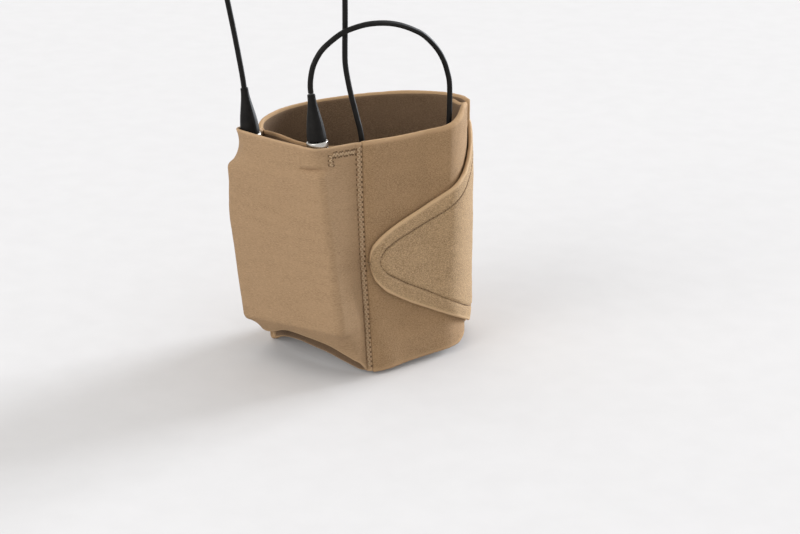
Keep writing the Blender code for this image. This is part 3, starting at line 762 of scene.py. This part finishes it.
# ------------------------------------------------------------------ pocket

# radius, and from and to which height: a socket's nut, the foot of a plug's collar and its grip
PLUG_STEPS = ((4.6, 39.3, 41.2), (4.8, 42.8, 46.2), (5.2, 46.2, 60))


def pack_distance(points):
    """How far points are out of the padded pack, its nuts and its plug collars, and the way out."""
    radius = 2.4
    core = (PACK_HIGH - PACK_LOW) / 2 - radius
    narrow = 3.6 * ramp(points[..., 2], 10, 38) * ramp(-points[..., 0], 10, 30)
    points = points - narrow[..., None] * (1, 0, 0)
    from_core = points - (PACK_HIGH + PACK_LOW) / 2
    outside = np.abs(from_core) - core
    past = np.maximum(outside, 0)
    length = np.linalg.norm(past, axis=-1)
    best = length + np.minimum(outside.max(-1), 0) - radius
    axis = np.eye(3)[outside.argmax(-1)]
    way = np.where(length[..., None] > 1e-9, past / np.maximum(length, 1e-9)[..., None], axis)
    way = way * np.sign(from_core)
    for x in (-SOCKET_X, SOCKET_X):
        away = points[..., :2] - (x, 0)
        reach = np.linalg.norm(away, axis=-1)
        side = away / np.maximum(reach, 1e-9)[..., None]
        side = np.concatenate([side, np.zeros_like(away[..., :1])], axis=-1)
        for size, low, high in PLUG_STEPS:
            past = np.maximum(np.maximum(low - points[..., 2], points[..., 2] - high), 0)
            distance = np.where(past > 0, np.hypot(np.maximum(reach - size, 0), past), reach - size)
            nearer = distance < best
            best = np.where(nearer, distance, best)
            way = np.where(nearer[..., None], side, way)
    return best, way


# the rim of the pocket and its free lower edge, between its two seams, in pack axes:
# across, and inwards from the pack's middle; then height in the row frame
POCKET_MOUTH = (
    (30.5, 5, 116.4), (28.6, -1, 116.2), (26.6, -4.9, 116.5), (22.3, -6.2, 116.6), (8, -6.2, 116.3),
    (-8, -6.2, 116.5), (-22.3, -6, 116.9), (-26.6, -4.2, 116.8), (-28.2, 0, 116.4), (-28.8, 5, 115.5),
    (-29.6, 10, 113.5),
)
POCKET_FOOT = (
    (26.5, 7, 4.4), (24, 4, 7.2), (21, 1, 10.4), (14, -1.5, 13.8), (2, -3, 15.4), (-12, -3.2, 15.6),
    (-21, -2.5, 12.8), (-28, -1, 10.4), (-34, 1.2, 9.6), (-39, 4.5, 10.4), (-41, 9, 8.4), (-41, 13, 4.5),
)


def pocket_edge(spots, right_height, left_height, count):
    """The points of one free edge, from the right seam's flange to the left one."""
    right = band_point(seam_at(right_height) - SEAM_MARGIN + FLANGE, right_height, -PANEL_THICKNESS / 2)
    left = band_point(LEFT_SEAM + SEAM_MARGIN - FLANGE, left_height, -PANEL_THICKNESS / 2)
    middle_points = []
    for x, y, height in spots:
        foot = from_pack((x, y, 0))
        middle_points.append(foot + UP * ((height - foot[2]) / UP[2]))
    dense = smooth(np.array([right, *middle_points, left]), np.linspace(0, len(spots) + 1, 600))
    travelled = np.concatenate([[0], np.cumsum(np.linalg.norm(np.diff(dense, axis=0), axis=1))])
    at = np.linspace(0, travelled[-1], count)
    return np.stack([np.interp(at, travelled, dense[:, k]) for k in range(3)], axis=1)


def taut_cloth(grid, turns, clearance):
    """Pull the cloth tight over the pack: every point moves to its neighbours' middle, outside the pack."""
    for _ in range(turns):
        inner = grid[1:-1, 1:-1]
        pull = (grid[:-2, 1:-1] + grid[2:, 1:-1] + grid[1:-1, :-2] + grid[1:-1, 2:]) / 4 - inner
        moved = inner + pull * 0.9
        local = to_pack(moved)
        distance, way = pack_distance(local)
        short = np.maximum(clearance - distance, 0)[..., None]
        grid[1:-1, 1:-1] = from_pack(local + way * short)
    return grid


def collar_relief(points):
    """How far the cloth sinks in below and beside the lead's plug collar, which it is drawn round."""
    x, _, z = np.moveaxis(points, -1, 0)
    beside = np.abs(x - SOCKET_X)
    below = 1.3 * (1 - ramp(beside, 4.6, 8)) * np.exp(-((z - 41.4) / 1.2) ** 2)
    hugged = 0.5 * (1 - ramp(beside, 3.6, 5.4)) * ramp(z, 42.4, 43.8)
    return below - hugged


def build_pocket():
    """The pocket's panel, sewn down at both sides and pulled tight over the pack."""
    rows, columns, sewn = 110, 150, 7
    rounds_of_pull = 1000
    half = PANEL_THICKNESS / 2
    mouth = pocket_edge(POCKET_MOUTH, 116.3, 110.6, columns)
    foot = pocket_edge(POCKET_FOOT, -1.0, -1.2, columns)
    share = np.linspace(0, 1, rows)[:, None]
    right_height = foot[0, 2] + (mouth[0, 2] - foot[0, 2]) * share
    left_height = foot[-1, 2] + (mouth[-1, 2] - foot[-1, 2]) * share
    margin = np.linspace(0, FLANGE, sewn)
    right = band_point(seam_at(right_height) - SEAM_MARGIN + margin, right_height, -half)
    left = band_point(LEFT_SEAM + SEAM_MARGIN - margin[::-1], left_height, -half)
    free = foot + (mouth - foot) * share[..., None]
    across = np.linspace(0, 1, columns)[None, :, None]
    free = free + (right[:, -1:] - free[:, :1]) * (1 - across) + (left[:, :1] - free[:, -1:]) * across
    free = taut_cloth(free, rounds_of_pull, half + PANEL_GAP)
    grid = np.concatenate([right[:, :-1], free, left[:, 1:]], axis=1)
    rows = 2 * rows - 1
    grid = smooth(grid.reshape(len(grid), -1), np.linspace(0, len(grid) - 1, rows)).reshape(rows, -1, 3)
    grid = grid + INWARDS * collar_relief(to_pack(grid))[..., None]
    share = np.linspace(0, 1, rows)[:, None]
    shape = grid.shape[:2]
    wobble = 0.18 * random_field(shape, (6, 9), 11) + 0.04 * random_field(shape, (24, 40), 12)
    along = np.linspace(0, 1, shape[1])
    edge = np.minimum.reduce(np.broadcast_arrays(share * 9, (1 - share) * 9, along * 14 - 0.6,
                                                 (1 - along) * 14 - 0.6))
    normal = normals_of(grid)
    grid = grid + normal * (np.abs(wobble) * np.clip(edge, 0, 1))[..., None]
    outer, inner = grid + normal * half, grid - normal * half
    panel = skin("pocket_cloth", outer[:, ::-1], inner[:, ::-1], KNIT)
    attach(panel, "wrap")
    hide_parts("pocket_panel")
    return grid, normal


# ------------------------------------------------------------------ seams

ZIGZAG_PITCH = 1.26
ZIGZAG_HALF_WIDTH = 0.9


def zigzag(name, centres, outs, sides, node):
    """Zigzag stitches along a line, a little uneven, with a needle hole, painted dark as shade, at each turn.
    """
    turn = np.where(np.arange(len(centres)) % 2, 1.0, -1.0)[:, None]
    uneven = np.random.default_rng(31).normal(size=(len(centres), 1))
    spots = centres + sides * (turn * ZIGZAG_HALF_WIDTH + 0.13 * uneven)
    stitches = stitch_row(name, spots[:-1], spots[1:], outs[:-1], THREAD, radius=0.34, rise=0.34)
    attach(stitches, "wrap")
    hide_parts(node)
    pricks = holes(f"{name}_holes", spots + sides * turn * 0.25, outs, 0.58, HOLE_SHADE)
    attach(pricks, "wrap")


def sideways(out):
    """The level direction along the band, across a seam, from the directions out of the band."""
    return np.stack([out[:, 1], -out[:, 0], np.zeros(len(out))], axis=1)


def build_seams():
    """The zigzag seams that hold the pocket's two sides."""
    for name, node, first, last in (("seam_zigzag_right", "seam_thread_right", 1.5, 115.5),
                                    ("seam_zigzag_left", "seam_thread_left", 0, 109)):
        height = np.arange(first, last, ZIGZAG_PITCH)
        place = seam_at(height) if node.endswith("right") else np.full_like(height, LEFT_SEAM)
        here, out = band_frame(place, height)
        zigzag(name, here + out * 0.1, out, sideways(out), node)


def build_corner_stitches(grid, normal):
    """The zigzag along the rim on the pocket's right wall, and down beside the lead's collar."""
    lines = grid + normal * (PANEL_THICKNESS / 2 + 0.08)
    # rows and columns of the panel's grid, counted from its rim and from its right side
    top, corner_column = len(grid) - 8, 28
    path = [(top, column) for column in np.linspace(8, corner_column - 1, 16)]
    path += [(row, corner_column) for row in np.linspace(top - 1, top - 11, 6)]
    rows, columns = np.array(path, int).T
    centres, outs = lines[rows, columns], normal[rows, columns]
    along = unit(np.gradient(centres, axis=0))
    zigzag("corner_zigzag", centres, outs, np.cross(outs, along), "rim_thread")


# ------------------------------------------------------------------ closing tab

def tab_columns(outline, count, crowd):
    """Place, low edge and high edge of each column; columns crowd towards the tip."""
    t = np.linspace(0, 1, count)
    where = (1 - (1 - t) ** crowd) * (len(outline) - 1)
    return smooth(outline, where).T


def tab_lift(place, height, edge):
    """How far the tab's inner face is off the band's outer face: close at its edge, and off at its root."""
    close = 0.7 + 0.8 * ramp(edge, 1.5, 9)
    root = 1 - ramp(place, 1.05, 1.9)
    under = np.maximum(band_relief(place, height), 0)
    return (close + under) * (1 - root) + root * (1.45 + under)


def build_tab():
    """The closing tab with its row of stitches."""
    place, low, high = tab_columns(TAB_OUTLINE, 170, 1.25)
    rows = 96
    half = TAB_THICKNESS / 2
    share = np.linspace(0, 1, rows)[:, None]
    inset = np.minimum(half, (high - low) * 0.35)
    height = (low + inset) + (high - low - 2 * inset) * share
    places = np.broadcast_to(place, height.shape)
    flat = band_point(places, height)
    border = np.concatenate([band_point(place, low), band_point(place, high)[::-1]])
    edge = distance_to_path(flat, border)
    lift = tab_lift(places, height, edge)
    stitch = smooth(TAB_STITCH, np.linspace(0, len(TAB_STITCH) - 1, 120))
    stitch_line = band_point(stitch[:, 0], stitch[:, 1])
    away = distance_to_path(flat, stitch_line)
    # let in along the stitches, and a little swollen between them and the edge
    groove = -0.6 * np.exp(-(away / 0.65) ** 2)
    roll = 0.3 * np.exp(-((edge - 3.2) / 2.2) ** 2)
    wobble = 0.1 * random_field(height.shape, (9, 12), 21) + 0.05 * random_field(height.shape, (40, 60), 22)
    fine = 0.03 * np.random.default_rng(23).normal(size=height.shape)
    outer = band_point(places, height, lift + TAB_THICKNESS + groove + roll + wobble + fine)
    inner = band_point(places, height, lift)
    tab = skin("closing_tab_cloth", outer, inner, TAB_FELT, rounds=5)
    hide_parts("closure_tab")
    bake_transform(tab)

    along = np.concatenate([[0], np.cumsum(np.linalg.norm(np.diff(stitch_line, axis=0), axis=1))])
    pitch, gap = 2.4, 0.7
    starts = np.arange(0, along[-1] - pitch, pitch)
    spots = [np.stack([np.interp(s, along, stitch[:, k]) for k in range(2)], axis=1)
             for s in (starts + gap / 2, starts + pitch - gap / 2, starts)]

    def on_tab(spots, more):
        places, heights = spots.T
        far = distance_to_path(band_point(places, heights), border)
        return band_point(places, heights, tab_lift(places, heights, far) + TAB_THICKNESS - 0.5 + more)

    outs = band_frame(spots[0][:, 0], spots[0][:, 1])[1]
    stitches = stitch_row("tab_stitching", on_tab(spots[0], 0.04), on_tab(spots[1], 0.04), outs, TAB_THREAD_SHADED)
    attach(stitches, "tab")
    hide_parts("tab_thread")
    pricks = holes("tab_stitching_holes", on_tab(spots[2], 0.05), outs, 0.36, HOLE_SHADE)
    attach(pricks, "tab")


def build_hook_patch():
    """Hook tape under the tab, with its rows of small hooks towards the band."""
    place, low, high = tab_columns(PATCH_OUTLINE, 60, 1.0)
    share = np.linspace(0, 1, 46)[:, None]
    height = low + 0.3 + (high - low - 0.6) * share
    places = np.broadcast_to(place, height.shape)
    under = np.maximum(band_relief(places, height), 0)
    outer = band_point(places, height, under + 1.3)
    inner = band_point(places, height, under + 0.85)
    patch = skin("hook_tape", outer, inner, HOOKS)
    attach(patch, "tab")
    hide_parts("hook_patch")
    row_pitch, hook_pitch, margin = 1.35, 0.115, 1.2
    low_edge = [(place, low) for place, low, _ in PATCH_OUTLINE]
    high_edge = [(place, high) for place, _, high in PATCH_OUTLINE]
    spots = np.array([(p, z) for z in np.arange(22, 86, row_pitch) for p in np.arange(2.7, 6.3, hook_pitch)
                      if eased(low_edge, p) + margin < z < eased(high_edge, p) - margin])
    lift = np.maximum(band_relief(spots[:, 0], spots[:, 1]), 0)
    base, out = band_frame(spots[:, 0], spots[:, 1])
    base = base + out * lift[:, None]
    up = np.array((0, 0, 1.0))
    points, faces = [], []
    for start, direction in zip(base, out):
        side = unit(np.cross(direction, up))
        line = [start + direction * 0.9, start + direction * 0.55, start + direction * 0.4 + up * 0.2,
                start + direction * 0.55 + up * 0.42]
        first = len(points)
        for k, spot in enumerate(line):
            size = 0.11 - 0.015 * k
            points += [spot - side * size, spot + up * size * 0.9, spot + side * size, spot - up * size * 0.9]
        for k in range(3):
            a = first + 4 * k
            faces += [(a + i, a + (i + 1) % 4, a + 4 + (i + 1) % 4, a + 4 + i) for i in range(4)]
        faces += [(first + 3, first + 2, first + 1, first), tuple(first + 12 + i for i in range(4))]
    hooks = mesh_piece("hook_tape_hooks", points, faces, HOOKS)
    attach(hooks, "tab")


def build_tab_join():
    """The seam that joins the tab to the band's tail."""
    pitch, place, half_width, lift = 1.25, 1.03, 1.1, 3.45
    height = np.arange(6.5, 108, pitch)
    here, out = band_frame(np.full_like(height, place), height)
    turn = np.where(np.arange(len(height)) % 2, 1.0, -1.0)[:, None]
    spots = here + out * lift + sideways(out) * turn * half_width
    stitches = stitch_row("tab_join_zigzag", spots[:-1], spots[1:], out[:-1], THREAD)
    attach(stitches, "wrap")


# ------------------------------------------------------------------ the pack

def dress_cad():
    """Finishes of the CAD nodes that show as they are."""
    finishes = {
        "housing_front": CASE, "housing_back": CASE, "housing_seal": SEAL, "circuit_board": BOARD,
        "battery_cell": CELL, "socket_whip": NICKEL, "socket_lead": NICKEL, "socket_nut_whip": NICKEL,
        "socket_nut_lead": NICKEL, "case_screw_1": STEEL, "case_screw_2": STEEL, "case_screw_3": STEEL,
        "case_screw_4": STEEL,
    }
    for name, finish in finishes.items():
        dress(name, finish)


# ------------------------------------------------------------------ studio

def soft_light(name, come_from, strength, spread, colour=(1, 1, 1)):
    """A far, wide light, so that the floor is lit alike everywhere; spread is its width in degrees."""
    data = bpy.data.lights.new(name, "SUN")
    data.energy = strength
    data.angle = math.radians(spread)
    data.color = colour
    light = bpy.data.objects.new(name, data)
    light.rotation_euler = (-Vector(come_from)).to_track_quat("-Z", "Y").to_euler()
    bpy.context.scene.collection.objects.link(light)


def build_studio():
    """A pale floor under the part, an even sky and two soft lights."""
    low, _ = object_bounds()
    floor_material, shader, node, link = new_material("pale_floor")
    place = node("ShaderNodeTexCoord").outputs["Object"]
    grain = stretched(node, noise(node, place, 60, 2), 0.3, 0.7)
    link(colour_mix(node, grain, (0.603, 0.591, 0.585), (0.618, 0.606, 0.600)), shader.inputs["Base Color"])
    shader.inputs["Roughness"].default_value = 0.9
    shader.inputs["Specular IOR Level"].default_value = 0.05
    half = 4000
    floor_level = low.z / MM - 0.2
    floor = mesh_piece("floor", [(-half, -half, floor_level), (half, -half, floor_level),
                                 (half, half, floor_level), (-half, half, floor_level)], [(0, 1, 2, 3)],
                       floor_material)
    world = bpy.data.worlds.new("studio")
    world.use_nodes = True
    world.node_tree.nodes["Background"].inputs["Color"].default_value = (1, 1, 1, 1)
    world.node_tree.nodes["Background"].inputs["Strength"].default_value = 0.95
    bpy.context.scene.world = world
    soft_light("front_light", (-0.84, -0.71, 0.6), 1.3, 45)
    soft_light("side_light", (0.8, 0.62, 0.21), 5.3, 24, (0.95, 1.0, 1.07))
    bpy.context.scene.view_settings.view_transform = "Standard"


build_lead()
build_plug("whip", -SOCKET_X)
build_plug("lead", SOCKET_X)
build_whip()
build_band()
pocket_grid, pocket_normal = build_pocket()
build_seams()
build_corner_stitches(pocket_grid, pocket_normal)
build_tab()
build_hook_patch()
build_tab_join()
dress_cad()
build_studio()
